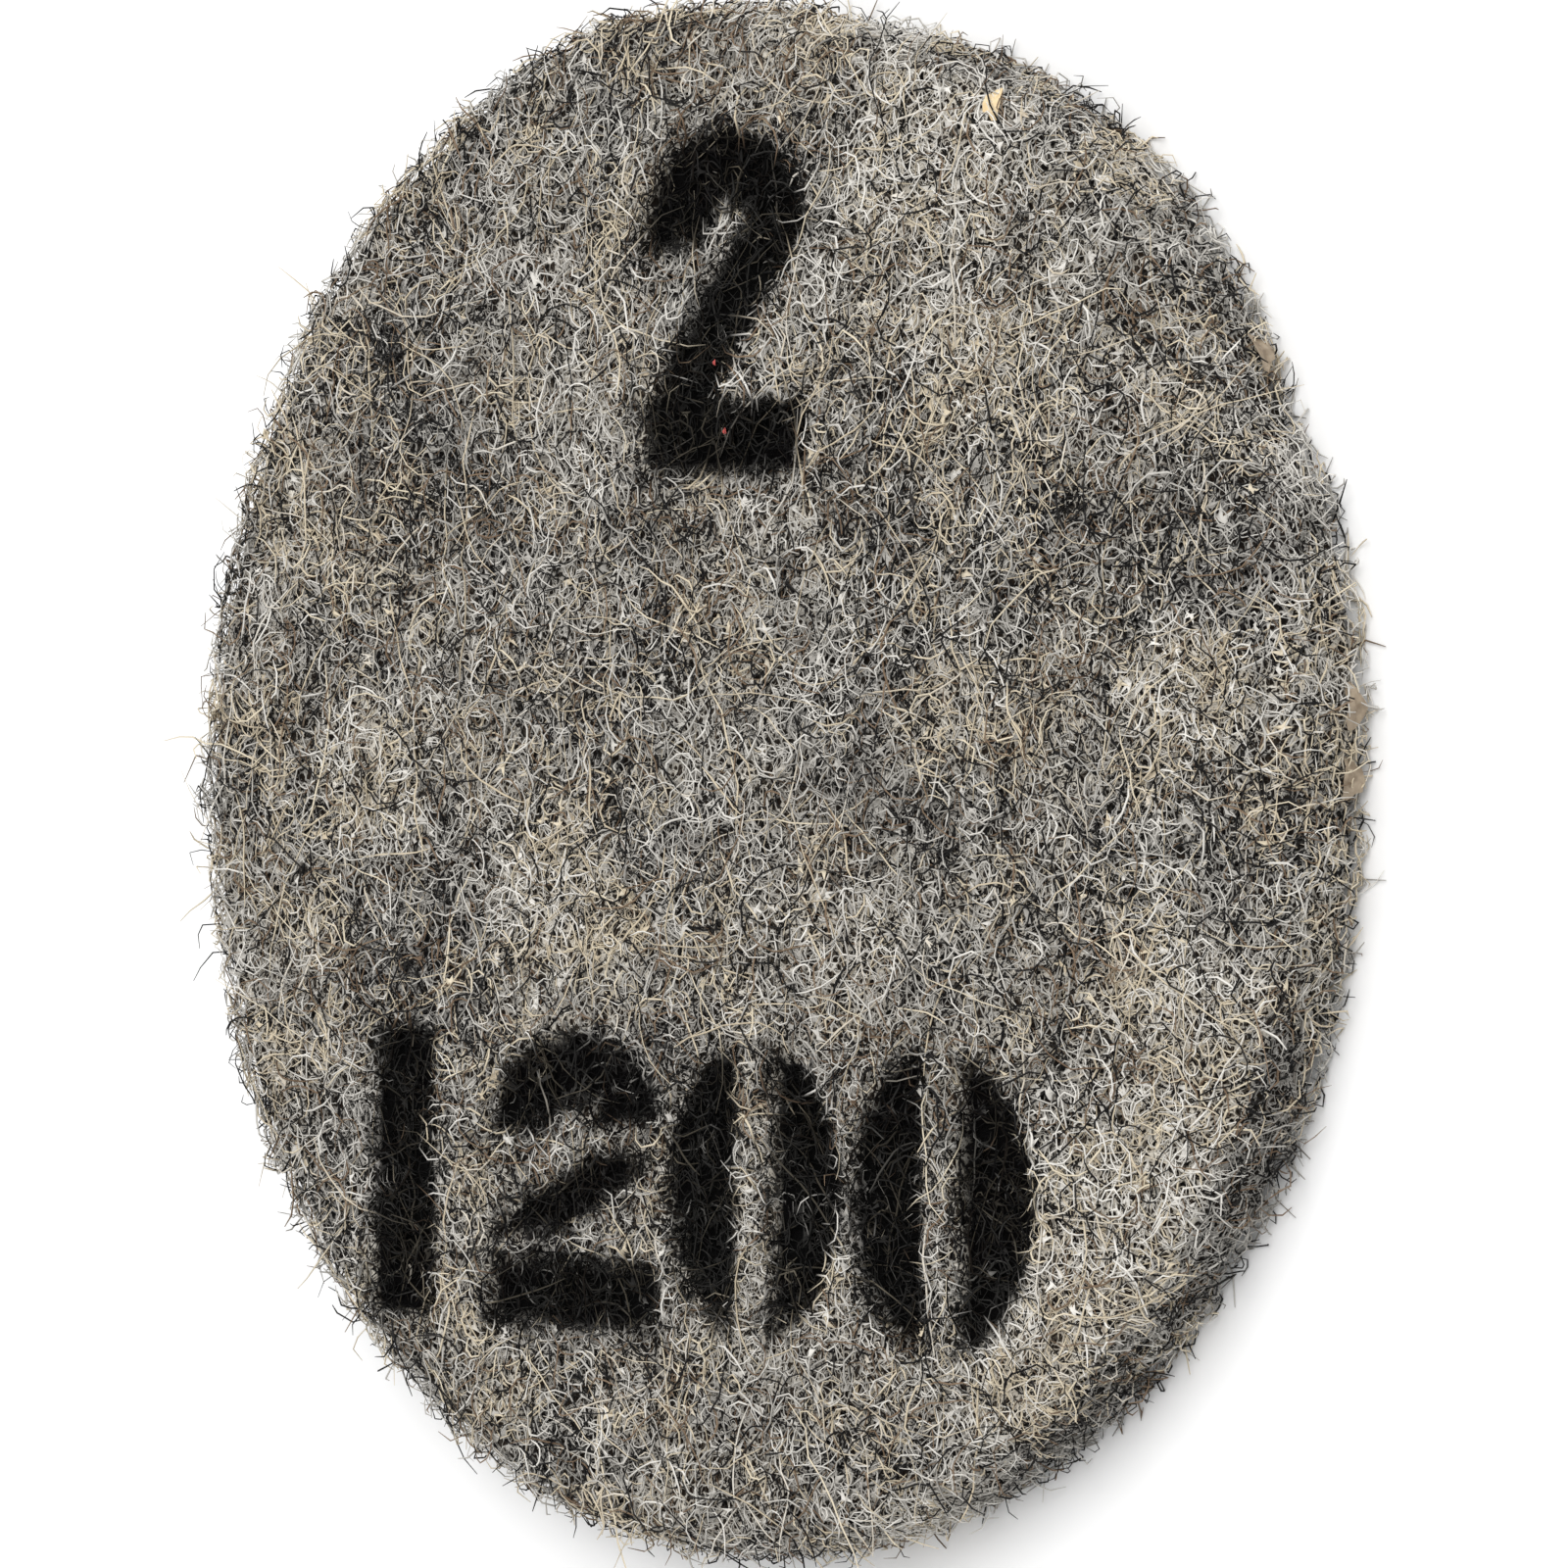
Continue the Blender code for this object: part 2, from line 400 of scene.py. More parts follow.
def stored(tree, geometry, name, value, data_type="FLOAT", domain="POINT"):
    """Stores a field on the geometry under a name."""
    node = tree.nodes.new("GeometryNodeStoreNamedAttribute")
    node.data_type = data_type
    node.domain = domain
    node.inputs["Name"].default_value = name
    tree.links.new(geometry, node.inputs["Geometry"])
    feed(tree, node.inputs["Value"], value)
    return node.outputs["Geometry"]


def step(tree, kind, geometry, **inputs):
    """Adds a node that changes a geometry, and returns the node."""
    node = tree.nodes.new(kind)
    tree.links.new(geometry, node.inputs[0])
    for name, value in inputs.items():
        feed(tree, node.inputs[name.replace("_", " ")], value)
    return node


# Where the web is paler or darker than elsewhere: x, y and radius in mm
STRAW_PATCHES = (
    (31, -15, 9), (28, -21, 10), (22, -28, 8), (31, 4, 5),
    (-25, 0, 5), (-11, -6, 6), (15, 29, 7), (17, 20, 5),
)
DARK_PATCHES = ((-22, 18, 10), (-3, 10, 8), (14, 1, 7), (-21, -9, 7))
# The share of a patch's radius within which it is whole
PATCH_CORE = 0.2


def in_patches(position, patches):
    """1 in the middle of any patch, given as x, y and radius in mm, and 0 outside them all."""
    x, y = parts_of(position)[:2]
    total = None
    for centre_x, centre_y, radius in patches:
        aside = x - centre_x * MM
        above = y - centre_y * MM
        away = maths("SQRT", aside * aside + above * above)
        share = eased(away, PATCH_CORE * radius * MM, radius * MM, 1.0, 0.0)
        total = share if total is None else maths("MAXIMUM", total, share)
    return total


HAIR_INPUTS = {
    "Strands": ("NodeSocketInt", 1000),
    "Area": ("NodeSocketFloat", 1.0),
    "Normal Low": ("NodeSocketFloat", 0.5),
    "Normal High": ("NodeSocketFloat", 1.1),
    "Points": ("NodeSocketInt", 5),
    "Length Low": ("NodeSocketFloat", 1.5 * MM),
    "Length High": ("NodeSocketFloat", 4.0 * MM),
    "Thickness": ("NodeSocketFloat", 0.14 * MM),
    "Curl Low": ("NodeSocketFloat", 0.5),
    "Curl High": ("NodeSocketFloat", 3.0),
    "Wobble": ("NodeSocketFloat", 0.5 * MM),
    "Deepest": ("NodeSocketFloat", -0.6 * MM),
    "Highest": ("NodeSocketFloat", 0.1 * MM),
    "Arch Low": ("NodeSocketFloat", -0.05),
    "Arch High": ("NodeSocketFloat", 0.12),
    "Rise Low": ("NodeSocketFloat", -0.15),
    "Rise High": ("NodeSocketFloat", 0.15),
    "Anchor": ("NodeSocketFloat", 0.5),
    "Across": ("NodeSocketFloat", 1.5),
    "Shade Low": ("NodeSocketFloat", 0.3),
    "Shade High": ("NodeSocketFloat", 0.8),
    "Straw Share": ("NodeSocketFloat", 0.2),
    "Dark Share": ("NodeSocketFloat", 0.2),
    "Clouding": ("NodeSocketFloat", 0.5),
    "Patches": ("NodeSocketFloat", 1.0),
    "Ink": ("NodeSocketFloat", 1.0),
    "Seed": ("NodeSocketInt", 1),
    "Finish": ("NodeSocketMaterial", None),
}


# Clouds of colour: grain, detail and strength
STRAW_CLOUD = (230.0, 3.0, 5.4)
DARK_CLOUD = (150.0, 3.0, 2.0)
FINER_DARK_CLOUDS = ((300.0, 1.0, 1.4), (700.0, 1.0, 1.6))
# Places on the ramp where grey ends and straw begins, and the luck above which dark hair is brown
PALEST = 0.76
STRAW_FROM = 0.80
BROWN_LUCK = 0.75


def cloud(take, place, scale, detail, strength):
    """A drifting share, above or below nothing, as strong as the kind's Clouding says."""
    return (noise(place, scale, detail) - 0.5) * take["Clouding"] * strength


def picked_shade(tree, root, take, seed):
    """Each strand's place on the colour ramp: black or brown, pale grey, or straw, in drifting clouds."""
    pick = random_value(tree, 0.0, 1.0, seed + 8)
    within = random_value(tree, 0.0, 1.0, seed + 11)
    pale = random_value(tree, take["Shade Low"], take["Shade High"], seed + 12)
    straw_cloud = cloud(take, root, *STRAW_CLOUD)
    moved = vector_maths("ADD", root, (0.3, 0.1, 0.2))
    dark_cloud = cloud(take, moved, *DARK_CLOUD)
    for finer in FINER_DARK_CLOUDS:
        dark_cloud += cloud(take, root, *finer)
    straw_patch = in_patches(root, STRAW_PATCHES) * take["Patches"]
    dark_patch = in_patches(root, DARK_PATCHES) * take["Patches"]
    straw_share = take["Straw Share"] + straw_cloud + straw_patch * 0.30 - dark_patch * 0.12
    dark_share = take["Dark Share"] + dark_cloud + dark_patch * 0.10 - straw_patch * 0.32
    dark = maths("LESS_THAN", pick, dark_share)
    pale = maths("MINIMUM", pale + straw_patch * 0.45 - dark_patch * 0.08 - dark_cloud * 0.35, PALEST)
    straw = maths("GREATER_THAN", pick, 1.0 - straw_share) * (1.0 - dark)
    brown = maths("GREATER_THAN", within, BROWN_LUCK)
    dark_value = within * 0.12 + brown * (0.05 + within * 0.05)
    straw_value = STRAW_FROM + within * (1.0 - STRAW_FROM)
    return dark * dark_value + straw * straw_value + (1.0 - dark) * (1.0 - straw) * pale


def new_tree(name):
    """An empty tree with the inputs of HAIR_INPUTS, and those inputs as fields."""
    tree = bpy.data.node_groups.new(name, "GeometryNodeTree")
    tree.interface.new_socket("Geometry", in_out="INPUT", socket_type="NodeSocketGeometry")
    for title, (kind, default) in HAIR_INPUTS.items():
        socket = tree.interface.new_socket(title, in_out="INPUT", socket_type=kind)
        if default is not None:
            socket.default_value = default
    tree.interface.new_socket("Geometry", in_out="OUTPUT", socket_type="NodeSocketGeometry")
    entry = tree.nodes.new("NodeGroupInput")
    return tree, entry, {title: Field(tree, entry.outputs[title]) for title in HAIR_INPUTS}


def rooted_points(tree, entry, take):
    """Points on the faces that look the wanted way, each with its root, lie, depth, luck and shade."""
    seed = take["Seed"]
    normal_z = parts_of(Field(tree, tree.nodes.new("GeometryNodeInputNormal").outputs[0]))[2]
    above_low = maths("GREATER_THAN", normal_z, take["Normal Low"])
    wanted = above_low * maths("LESS_THAN", normal_z, take["Normal High"])
    scatter = step(tree, "GeometryNodeDistributePointsOnFaces", entry.outputs["Geometry"])
    feed(tree, scatter.inputs["Density"], take["Strands"] / take["Area"] * wanted)
    feed(tree, scatter.inputs["Seed"], seed)
    root = Field(tree, tree.nodes.new("GeometryNodeInputPosition").outputs[0])
    heading = random_value(tree, 0.0, 2 * math.pi, seed + 1)
    way = vector(maths("COSINE", heading) * take["Across"], maths("SINE", heading), 0.0)
    upright = tree.nodes.new("FunctionNodeAlignRotationToVector")
    upright.axis = "Z"
    tree.links.new(scatter.outputs["Normal"], upright.inputs["Vector"])
    lie = tree.nodes.new("FunctionNodeAlignRotationToVector")
    lie.axis = "X"
    lie.pivot_axis = "Z"
    tree.links.new(upright.outputs[0], lie.inputs["Rotation"])
    feed(tree, lie.inputs["Vector"], way)
    points = stored(tree, scatter.outputs["Points"], "root", root, "FLOAT_VECTOR")
    points = stored(tree, points, "lie", Field(tree, lie.outputs[0]), "QUATERNION")
    points = stored(tree, points, "depth", random_value(tree, take["Deepest"], take["Highest"], seed + 5))
    points = stored(tree, points, "drift", random_value(tree, 0.0, 1.0, seed + 10))
    return stored(tree, points, "shade", picked_shade(tree, root, take, seed))


GIRTH_SPREAD = (0.65, 1.35)
WOBBLE_GRAIN = 420.0
# How far apart in the noise two neighbours may take their wobble
WOBBLE_APART = 50.0 * MM
END_LENGTH = 0.25
END_GIRTH = 0.45


def build_hair_tree(fields_object):
    """The tree that turns a surface into strands of one kind of hair."""
    tree, entry, take = new_tree("Hair")

    # What each strand keeps besides: its random sizes
    points = rooted_points(tree, entry, take)
    seed = take["Seed"]
    side = maths("SIGN", random_value(tree, -1.0, 1.0, seed + 2))
    kept = {
        "length": random_value(tree, take["Length Low"], take["Length High"], seed + 3),
        "curl": random_value(tree, take["Curl Low"], take["Curl High"], seed + 4) * side,
        "arch": random_value(tree, take["Arch Low"], take["Arch High"], seed + 6),
        "rise": random_value(tree, take["Rise Low"], take["Rise High"], seed + 7),
        "girth": random_value(tree, *GIRTH_SPREAD, seed + 9) * take["Thickness"] * 0.5,
    }
    for name, value in kept.items():
        points = stored(tree, points, name, value)

    # A line of a few points on each, made real so that every point can move by itself
    line = tree.nodes.new("GeometryNodeCurvePrimitiveLine")
    counted = step(tree, "GeometryNodeResampleCurve", line.outputs[0], Count=take["Points"])
    copies = step(tree, "GeometryNodeInstanceOnPoints", points)
    tree.links.new(counted.outputs[0], copies.inputs["Instance"])
    strands = step(tree, "GeometryNodeRealizeInstances", copies.outputs[0]).outputs[0]

    # The strand's shape, in the plane of the surface and above it
    along = Field(tree, tree.nodes.new("GeometryNodeSplineParameter").outputs["Factor"])
    from_root = along - take["Anchor"]
    length = named(tree, "length")
    curl = named(tree, "curl")
    angle = from_root * curl
    forward = length * maths("SINE", angle) / curl
    across = length * (1.0 - maths("COSINE", angle)) / curl
    rise = named(tree, "rise")
    arched = named(tree, "arch") * length * (1.0 - 4.0 * (along - 0.5) * (along - 0.5))
    height = named(tree, "depth") + forward * maths("SINE", rise) + arched
    turned = tree.nodes.new("FunctionNodeRotateVector")
    feed(tree, turned.inputs["Vector"], vector(forward * maths("COSINE", rise), across, height))
    feed(tree, turned.inputs["Rotation"], named(tree, "lie", "QUATERNION"))
    place = vector_maths("ADD", named(tree, "root", "FLOAT_VECTOR"), Field(tree, turned.outputs[0]))
    drifted = vector_maths("ADD", place, vector(0.0, 0.0, named(tree, "drift") * WOBBLE_APART))
    wobble = vector_maths("SUBTRACT", noise(drifted, WOBBLE_GRAIN, 1.0, 1), (0.5, 0.5, 0.5))
    place = vector_maths("ADD", place, vector_maths("SCALE", wobble, take["Wobble"] * 2.0))
    x, y, z = parts_of(place)
    place = vector(x, y, maths("MAXIMUM", z, LOWEST_HAIR))
    strands = step(tree, "GeometryNodeSetPosition", strands, Position=place).outputs[0]

    # The ink on it, and thickness with finer ends
    start_slim = eased(along, 0.0, END_LENGTH, END_GIRTH, 1.0)
    slim = start_slim * eased(along, 1.0 - END_LENGTH, 1.0, 1.0, END_GIRTH)
    strands = stored(tree, strands, "ink", ink_here(tree, fields_object) * take["Ink"])
    strands = stored(tree, strands, "along", along)

    # Three-sided tubes with their own map
    profile = tree.nodes.new("GeometryNodeCurvePrimitiveCircle")
    profile.inputs["Resolution"].default_value = 3
    profile.inputs["Radius"].default_value = 1.0
    around = stored(tree, profile.outputs[0], "around", along)
    tubes = step(tree, "GeometryNodeCurveToMesh", strands, Scale=named(tree, "girth") * slim)
    tree.links.new(around, tubes.inputs["Profile Curve"])
    tubes.inputs["Fill Caps"].default_value = True
    round_it = named(tree, "around")
    finish_tree(tree, take, tubes.outputs[0], round_it, named(tree, "along") + round_it * round_it, True)
    return tree


def finish_tree(tree, take, geometry, across_patch, up_patch, smooth):
    """Ends a tree: the map, where a piece covers one small patch, the shading and the material."""
    inside = 1.0 - 4.0 * PATCH
    u = maths("MINIMUM", maths("MAXIMUM", named(tree, "shade") + across_patch * PATCH, 0.0), 1.0)
    v = named(tree, "ink") + up_patch * PATCH
    on_map = vector(u * inside + PATCH, v * inside + PATCH, 0.0)
    mapped = stored(tree, geometry, "OFBake", on_map, "FLOAT2", "CORNER")
    shaded = step(tree, "GeometryNodeSetShadeSmooth", mapped)
    shaded.inputs["Shade Smooth"].default_value = smooth
    real = step(tree, "GeometryNodeRealizeInstances", shaded.outputs[0])
    finished = step(tree, "GeometryNodeSetMaterial", real.outputs[0], Material=take["Finish"])
    leave = tree.nodes.new("NodeGroupOutput")
    tree.links.new(finished.outputs[0], leave.inputs[0])


hair_tree = build_hair_tree(ink_fields)
print("hair tree of", len(hair_tree.nodes), "nodes")

# %% [markdown]
# ## Films of resin
#
# Where hairs meet, the resin that bonds them has dried into small pale films with drawn-out corners. Each
# is a thin closed star: a ball of two rings, pressed flat, with every second corner pulled in. Noise then
# bends it.

# %% Film tree
FILM_CORNERS = 8
FILM_WAIST = 0.24
FILM_BREADTH = 0.6
FILM_THICKNESS = 0.06
FILM_BEND = 0.45 * MM
FILM_BEND_GRAIN = 1800.0


def build_film_tree(fields_object):
    """The tree that scatters resin films on a surface. Their size is the length."""
    tree, entry, take = new_tree("Film")
    points = rooted_points(tree, entry, take)
    size = random_value(tree, take["Length Low"], take["Length High"], take["Seed"] + 3)
    points = stored(tree, points, "size", size * 0.5)

    ball = tree.nodes.new("GeometryNodeMeshUVSphere")
    ball.inputs["Segments"].default_value = FILM_CORNERS
    ball.inputs["Rings"].default_value = 2
    ball.inputs["Radius"].default_value = 1.0
    index = Field(tree, tree.nodes.new("GeometryNodeInputIndex").outputs[0])
    reach = FILM_WAIST + (1.0 - FILM_WAIST) * maths("MODULO", index, 2.0)
    x, y, z = parts_of(Field(tree, tree.nodes.new("GeometryNodeInputPosition").outputs[0]))
    flat = step(tree, "GeometryNodeSetPosition", ball.outputs["Mesh"])
    feed(tree, flat.inputs["Position"], vector(x * reach, y * reach * FILM_BREADTH, z * FILM_THICKNESS))
    star = stored(tree, flat.outputs[0], "film_x", x * 0.5 + 0.5)
    star = stored(tree, star, "film_y", y * 0.5 + 0.5)

    copies = step(tree, "GeometryNodeInstanceOnPoints", points)
    tree.links.new(star, copies.inputs["Instance"])
    feed(tree, copies.inputs["Rotation"], named(tree, "lie", "QUATERNION"))
    feed(tree, copies.inputs["Scale"], named(tree, "size"))
    films = step(tree, "GeometryNodeRealizeInstances", copies.outputs[0]).outputs[0]
    position = Field(tree, tree.nodes.new("GeometryNodeInputPosition").outputs[0])
    bend = vector_maths("SUBTRACT", noise(position, FILM_BEND_GRAIN, 1.0, 1), (0.5, 0.5, 0.5))
    lifted = vector(0.0, 0.0, named(tree, "depth"))
    offset = vector_maths("ADD", vector_maths("SCALE", bend, FILM_BEND * 2.0), lifted)
    x, y, z = parts_of(vector_maths("ADD", position, offset))
    above_floor = vector(x, y, maths("MAXIMUM", z, LOWEST_HAIR))
    films = step(tree, "GeometryNodeSetPosition", films, Position=above_floor).outputs[0]
    films = stored(tree, films, "ink", ink_here(tree, fields_object) * take["Ink"])
    finish_tree(tree, take, films, named(tree, "film_x"), named(tree, "film_y"), False)
    return tree


film_tree = build_film_tree(ink_fields)
print("film tree of", len(film_tree.nodes), "nodes")

# %% [markdown]
# ## The finish of the hair
#
# Most hairs are a pale warm grey. Some are straw coloured, some black and a few brown. The shade that a
# strand carries in its map picks its colour from a ramp, and the ink mixes near-black over it. Hair is a
# little glossy, and inked hair less so.

# %% Hair finish
HAIR_SHADES = (
    (0.00, (0.006, 0.006, 0.007)),
    (0.10, (0.022, 0.021, 0.020)),
    (0.16, (0.100, 0.062, 0.040)),
    (0.22, (0.210, 0.150, 0.100)),
    (0.30, (0.200, 0.190, 0.174)),
    (0.55, (0.450, 0.432, 0.397)),
    (0.76, (0.740, 0.715, 0.665)),
    (0.84, (0.530, 0.452, 0.330)),
    (1.00, (0.725, 0.650, 0.505)),
)
INK_SHADE = (0.0013, 0.0011, 0.0011, 1.0)
HAIR_ROUGHNESS = 0.55
INKED_ROUGHNESS = 0.70
HAIR_GLOSS = 0.07
RESIN_ROUGHNESS = 0.50
RESIN_GLOSS = 0.12


def mixed_colour(tree, share, first, second):
    """A Mix node for colours."""
    node = tree.nodes.new("ShaderNodeMix")
    node.data_type = "RGBA"
    feed(tree, node.inputs[0], share)
    feed(tree, node.inputs[6], first)
    feed(tree, node.inputs[7], second)
    return Field(tree, node.outputs[2])


def colour_ramp(value, stops):
    """A ramp from a field to a colour."""
    node = value.tree.nodes.new("ShaderNodeValToRGB")
    feed(value.tree, node.inputs[0], value)
    while len(node.color_ramp.elements) < len(stops):
        node.color_ramp.elements.new(0.5)
    for element, (position, colour) in zip(node.color_ramp.elements, stops):
        element.position = position
        element.color = (*colour, 1.0)
    return Field(value.tree, node.outputs[0])


def hair_material(name, roughness, gloss):
    """A finish that reads the shade and the ink from the piece's own map."""
    material = plain_material(name, (0.5, 0.48, 0.43), roughness)
    tree = material.node_tree
    shader = tree.nodes["Principled BSDF"]
    own_map = tree.nodes.new("ShaderNodeUVMap")
    own_map.uv_map = "OFBake"
    shade, ink = parts_of(Field(tree, own_map.outputs[0]))[:2]
    colour = mixed_colour(tree, ink, colour_ramp(shade, HAIR_SHADES), INK_SHADE)
    feed(tree, shader.inputs["Base Color"], colour)
    feed(tree, shader.inputs["Roughness"], roughness + ink * (INKED_ROUGHNESS - roughness))
    shader.inputs["Specular IOR Level"].default_value = gloss
    return material


bonded_hair = hair_material("bonded_hair", HAIR_ROUGHNESS, HAIR_GLOSS)
dried_resin = hair_material("dried_resin", RESIN_ROUGHNESS, RESIN_GLOSS)
print("hair shades:", len(HAIR_SHADES))

# %% [markdown]
# ## The surface that the hair grows on
#
# The strands start from a copy of the solid's own skin, so they follow its nap, its ragged edge and its
# dents. The solid's mesh is loose triangles, so the copy is welded first.

# %% Welded skin


def welded_copy(name):
    """The solid's skin with its triangles joined."""
    shape = bmesh.new()
    shape.from_mesh(bpy.data.objects[PAD].data)
    bmesh.ops.remove_doubles(shape, verts=shape.verts, dist=0.001 * MM)
    bmesh.ops.recalc_face_normals(shape, faces=shape.faces)
    mesh = bpy.data.meshes.new(name)
    shape.to_mesh(mesh)
    shape.free()
    return mesh


def area_facing(mesh, low, high):
    """The area of the faces whose normal's z lies between two values."""
    return sum(face.area for face in mesh.polygons if low < face.normal.z < high)


skin = welded_copy("skin")
FACE_WAY = (0.6, 1.1)
RIM_WAY = (-0.75, 0.75)
BACK_WAY = (-1.1, -0.6)
for title, way in (("face", FACE_WAY), ("rim", RIM_WAY), ("back", BACK_WAY)):
    print(title, round(area_facing(skin, *way) / MM**2), "square mm")

# %% [markdown]
# ## Growing one kind
#
# Every kind of hair is grown the same way: the tree goes on the skin as a modifier with that kind's
# numbers, and what it makes is kept as a plain mesh. A name that the tree doesn't know stops the script.

# %% Growing one kind
WORKING_ATTRIBUTES = (
    "root", "lie", "length", "curl", "depth", "arch", "rise", "shade", "girth", "drift", "ink",
    "along", "around", "size", "film_x", "film_y",
)


def grow(name, way, tree=hair_tree, finish=bonded_hair, slot="hair_web", **settings):
    """Grows one kind of hair or film on the skin and returns it as a plain mesh."""
    piece = bpy.data.objects.new(name + "_growing", skin)
    bpy.context.scene.collection.objects.link(piece)
    modifier = piece.modifiers.new("Hair", "NODES")
    modifier.node_group = tree
    values = {key.replace("_", " "): value for key, value in settings.items()}
    values |= {"Area": area_facing(skin, *way), "Normal Low": way[0], "Normal High": way[1]}
    values |= {"Finish": finish}
    for item in tree.interface.items_tree:
        if item.name in values:
            modifier[item.identifier] = values.pop(item.name)
    if values:
        raise ValueError(f"no such input: {sorted(values)}")
    bpy.context.view_layer.update()
    graph = bpy.context.evaluated_depsgraph_get()
    mesh = bpy.data.meshes.new_from_object(piece.evaluated_get(graph))
    bpy.data.objects.remove(piece)
    for spare in WORKING_ATTRIBUTES:
        if spare in mesh.attributes:
            mesh.attributes.remove(mesh.attributes[spare])
    mesh.name = name
    grown = bpy.data.objects.new(name, mesh)
    bpy.context.scene.collection.objects.link(grown)
    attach(grown, "root")
    triangles = sum(len(face.vertices) - 2 for face in mesh.polygons)
    print(name, triangles, "triangles")
    return grown


# %% [markdown]
# ## The core
#
# Between the strands the eye meets deeper hair, too dense and too dark to model one by one. That is the
# core: the solid's own form drawn in by a little, under a finish of fine crossing strands with dark gaps.
# The near-black gaps and the darker lower strands are painted shade for the depth of the web.

# %% Core
CORE_INSET = 0.28 * MM
CORE_VOXEL = 0.9 * MM
CORE_FACE_UP = 0.5


def make_core():
    """The solid's form, remeshed evenly and drawn in along its normals."""
    core = bpy.data.objects.new("felt_core", welded_copy("felt_core"))
    bpy.context.scene.collection.objects.link(core)
    even = core.modifiers.new("Even", "REMESH")
    even.mode = "VOXEL"
    even.voxel_size = CORE_VOXEL
    even.use_smooth_shade = True
    bpy.context.view_layer.update()
    graph = bpy.context.evaluated_depsgraph_get()
    mesh = bpy.data.meshes.new_from_object(core.evaluated_get(graph))
    core.modifiers.clear()
    core.data = mesh
    inward = [v.co - v.normal * CORE_INSET for v in mesh.vertices]
    for v, co in zip(mesh.vertices, inward):
        v.co = co
    return core


def net(place, scale, width):
    """Strands along the walls of small cells, which cross and join as a felted web does."""
    cells = place.tree.nodes.new("ShaderNodeTexVoronoi")
    cells.feature = "DISTANCE_TO_EDGE"
    feed(place.tree, cells.inputs["Vector"], place)
    cells.inputs["Scale"].default_value = scale
    return eased(Field(place.tree, cells.outputs["Distance"]), 0.3 * width, width, 1.0, 0.0)


def threads(place, scale, width):
    """Loose curving threads, where a noise passes through its middle value."""
    return eased(maths("ABSOLUTE", noise(place, scale, 1.0) - 0.5), 0.3 * width, width, 1.0, 0.0)


CORE_BEND = 0.8 * MM
CORE_BEND_GRAIN = 1500.0
CORE_CLOUD_GRAIN = 140.0
CORE_GAP_GRAIN = 600.0
CORE_FILM_GRAIN = 1900.0
CORE_FILM_FROM = (0.60, 0.68)
CORE_BUMP = 0.12 * MM
# Painted shade for the web's depth: near-black gaps and darker deep strands, with paler layers above.
GAP_PAINTED_SHADE_TONES = ((0.40, (0.003, 0.003, 0.003)), (0.70, (0.022, 0.015, 0.010)))
DEEP_SHADED_TONES = ((0.40, (0.016, 0.014, 0.012)), (0.60, (0.085, 0.072, 0.057)))
MIDDLE_TONES = ((0.40, (0.260, 0.250, 0.230)), (0.60, (0.540, 0.500, 0.430)))
THREAD_TONES = ((0.40, (0.500, 0.480, 0.450)), (0.60, (0.740, 0.700, 0.620)))
FILM_TONES = ((0.40, (0.400, 0.385, 0.360)), (0.60, (0.660, 0.620, 0.540)))


def core_material():
    """Three layers of strands over dark gaps, each paler than the one below it, and films of resin. The
    gaps and the darker lower layers are painted shade for the web's depth.
    """
    material = plain_material("deep_hair", (0.1, 0.095, 0.085), 0.9)
    tree = material.node_tree
    shader = tree.nodes["Principled BSDF"]
    place = Field(tree, tree.nodes.new("ShaderNodeTexCoord").outputs["Object"])
    bend = vector_maths("SUBTRACT", noise(place, CORE_BEND_GRAIN, 2.0, 1), (0.5, 0.5, 0.5))
    bent = vector_maths("ADD", place, vector_maths("SCALE", bend, CORE_BEND))
    moved = vector_maths("ADD", bent, (0.013, 0.027, 0.019))
    clouds = noise(place, CORE_CLOUD_GRAIN, 3.0)
    # Below the face the pale patches turn into darkening of the rim, most of all low on the right: partly
    # dark hair, partly painted shade.
    on_face = eased(parts_of(place)[2], FACE_HEIGHT - 1.6 * MM, FACE_HEIGHT - 0.6 * MM, -1.0, 1.0)
    pale = in_patches(place, STRAW_PATCHES) * on_face
    tone = clouds + pale * 0.28 - in_patches(place, DARK_PATCHES) * 0.08
    film = eased(noise(moved, CORE_FILM_GRAIN, 2.0), *CORE_FILM_FROM)
    layers = (
        (net(bent, 3300.0, 0.12), DEEP_SHADED_TONES),
        (net(moved, 2100.0, 0.12), MIDDLE_TONES),
        (threads(bent, 1100.0, 0.026), THREAD_TONES),
        (film, FILM_TONES),
    )
    colour = colour_ramp(noise(moved, CORE_GAP_GRAIN, 1.0), GAP_PAINTED_SHADE_TONES)
    height = None
    for number, (strands, tones) in enumerate(layers):
        colour = mixed_colour(tree, strands, colour, colour_ramp(tone, tones))
        raised = strands * (0.4 + 0.2 * number)
        height = raised if height is None else maths("MAXIMUM", height, raised)
    ink = tree.nodes.new("ShaderNodeAttribute")
    ink.attribute_name = "ink"
    colour = mixed_colour(tree, Field(tree, ink.outputs["Fac"]), colour, INK_SHADE)
    feed(tree, shader.inputs["Base Color"], colour)
    shader.inputs["Specular IOR Level"].default_value = HAIR_GLOSS
    bump = tree.nodes.new("ShaderNodeBump")
    bump.inputs["Distance"].default_value = CORE_BUMP
    feed(tree, bump.inputs["Height"], height)
    tree.links.new(bump.outputs[0], shader.inputs["Normal"])
    return material


felt_core = make_core()
ink_values = felt_core.data.attributes.new("ink", "FLOAT", "POINT")
for number, v in enumerate(felt_core.data.vertices):
    if v.normal.z > CORE_FACE_UP:
        above = Vector((v.co.x, v.co.y, FACE_HEIGHT))
        where = ink_fields.closest_point_on_mesh(above)[1]
        ink_values.data[number].value = 1.0 - min(1.0, (where - above).length / INK_EDGE)
felt_core.data.materials.clear()
felt_core.data.materials.append(core_material())
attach(felt_core, "root")
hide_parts(PAD)
print("core of", len(felt_core.data.polygons), "faces")
